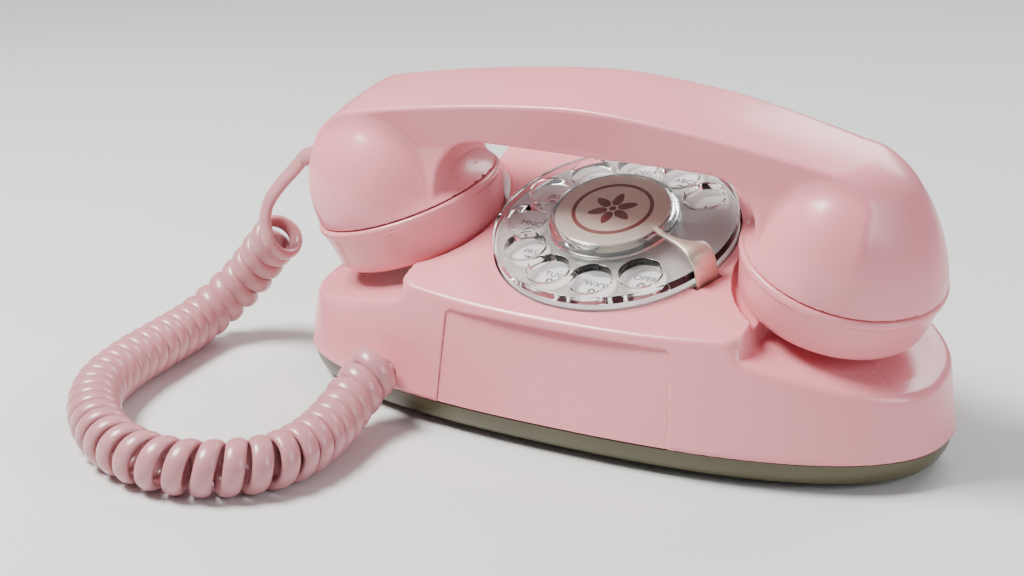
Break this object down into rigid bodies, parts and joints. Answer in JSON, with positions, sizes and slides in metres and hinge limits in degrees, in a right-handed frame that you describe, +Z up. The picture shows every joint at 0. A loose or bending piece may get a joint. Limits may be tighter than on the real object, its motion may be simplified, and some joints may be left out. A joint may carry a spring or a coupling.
{
  "type": "rotary telephone",
  "caption": "Compact low rotary desk telephone: handset across a raised tilted dial with clear finger wheel, oval drafted body on a pan, curly cord at one side.",
  "frame": {"origin": "middle of the base's outline, on the surface the feet stand on", "axes": "+X along the base towards the receiver end, to the right of a user who faces the dial; +Y towards the back; +Z up"},
  "size_m": [0.2572, 0.1726, 0.1043],
  "materials": {
    "pink_plastic": "satin gloss pink",
    "cord_pink": "glossy pink vinyl",
    "olive_enamel": "satin olive enamel",
    "clear_acrylic": "clear acrylic, polished",
    "white_plastic": "satin white",
    "cream_card": "printed cream card",
    "satin_steel": "satin",
    "plated_steel": "plated",
    "brass": "plain",
    "black_rubber": "matt",
    "dark_plastic": "matt black moulding",
    "wound_copper": "enamelled copper wire"
  },
  "bodies": {
    "base": {"base_pan": "olive_enamel", "housing": "pink_plastic", "foot_front_left": "black_rubber", "foot_front_right": "black_rubber", "foot_back_left": "black_rubber", "foot_back_right": "black_rubber", "housing_screw_left": "plated_steel", "housing_screw_right": "plated_steel", "ballast_weight": "plated_steel", "network_block": "dark_plastic", "ringer_bracket": "plated_steel", "ringer_gong": "brass", "ringer_coil": "wound_copper", "line_cord_inlet": "dark_plastic", "base_cord_relief": "cord_pink", "switch_bracket": "plated_steel", "switch_springs": "brass", "number_plate": "white_plastic", "dial_bracket": "plated_steel", "dial_case": "satin_steel", "pulse_springs": "brass", "finger_stop": "satin_steel", "night_lamp": "clear_acrylic", "lamp_socket": "brass", "handset_cord_coil": "cord_pink", "handset_cord_tail": "cord_pink", "base_cord_tail": "cord_pink"},
    "handset": {"handset_shell": "pink_plastic", "transmitter_cap": "pink_plastic", "receiver_cap": "pink_plastic", "transmitter_unit": "satin_steel", "transmitter_holder": "dark_plastic", "receiver_unit": "satin_steel", "handset_cord_relief": "cord_pink"},
    "dial": {"finger_wheel": "clear_acrylic", "number_card": "cream_card", "dial_hub": "clear_acrylic", "dial_shaft": "plated_steel", "main_gear": "brass"},
    "pulse_pinion": {"pulse_pinion": "plated_steel"},
    "governor": {"governor_rotor": "brass"},
    "plunger_left": {"plunger_left": "white_plastic"},
    "plunger_right": {"plunger_right": "white_plastic"},
    "switch_bail": {"switch_bail": "plated_steel"},
    "clapper": {"ringer_clapper": "brass"},
    "volume_wheel": {"ringer_volume_wheel": "dark_plastic"},
    "nightlight_slider": {"nightlight_slider": "white_plastic"}
  },
  "joints": [
    {"name": "handset_lift", "type": "slide", "parent": "base", "child": "handset", "axis": [0, 0, 1], "range_m": [0, 0.08]},
    {"name": "dial_spin", "type": "hinge", "parent": "base", "child": "dial", "pos_m": [0, -0.0018, 0.05622], "axis": [0, 0.3584, -0.9336], "range_deg": [0, 325], "stiffness_Nm_per_rad": 0.02, "springref_deg": -57.3},
    {"name": "pulse_pinion_spin", "type": "hinge", "parent": "base", "child": "pulse_pinion", "pos_m": [-0.00587, 0.01808, 0.05485], "axis": [0, 0.3584, -0.9336], "range_deg": [-1260, 0]},
    {"name": "governor_spin", "type": "hinge", "parent": "base", "child": "governor", "pos_m": [0.00925, -0.0121, 0.03834], "axis": [0, 0.3584, -0.9336], "range_deg": [0, 3600]},
    {"name": "plunger_left_slide", "type": "slide", "parent": "base", "child": "plunger_left", "axis": [0, 0, 1], "range_m": [0, 0.0051]},
    {"name": "plunger_right_slide", "type": "slide", "parent": "base", "child": "plunger_right", "axis": [0, 0, 1], "range_m": [0, 0.0051]},
    {"name": "switch_bail_turn", "type": "hinge", "parent": "base", "child": "switch_bail", "pos_m": [0, 0.029, 0.0202], "axis": [-1, 0, 0], "range_deg": [0, 10]},
    {"name": "clapper_swing", "type": "hinge", "parent": "base", "child": "clapper", "pos_m": [0.0305, -0.006, 0.0095], "axis": [0, 0, 1], "range_deg": [-3, 3], "stiffness_Nm_per_rad": 0.0005},
    {"name": "volume_turn", "type": "hinge", "parent": "base", "child": "volume_wheel", "pos_m": [0.057, -0.02, 0.003], "axis": [0, 0, 1], "range_deg": [0, 90]},
    {"name": "nightlight_slide", "type": "slide", "parent": "base", "child": "nightlight_slider", "axis": [1, 0, 0], "range_m": [0, 0.008]}
  ],
  "couplings": [
    {"joint": "pulse_pinion_spin", "follows": "dial_spin", "ratio": -3.75},
    {"joint": "governor_spin", "follows": "dial_spin", "ratio": 11},
    {"joint": "plunger_left_slide", "follows": "handset_lift", "ratio": 0.0625},
    {"joint": "plunger_right_slide", "follows": "handset_lift", "ratio": 0.0625},
    {"joint": "switch_bail_turn", "follows": "handset_lift", "rad_per_m": 2.119}
  ]
}
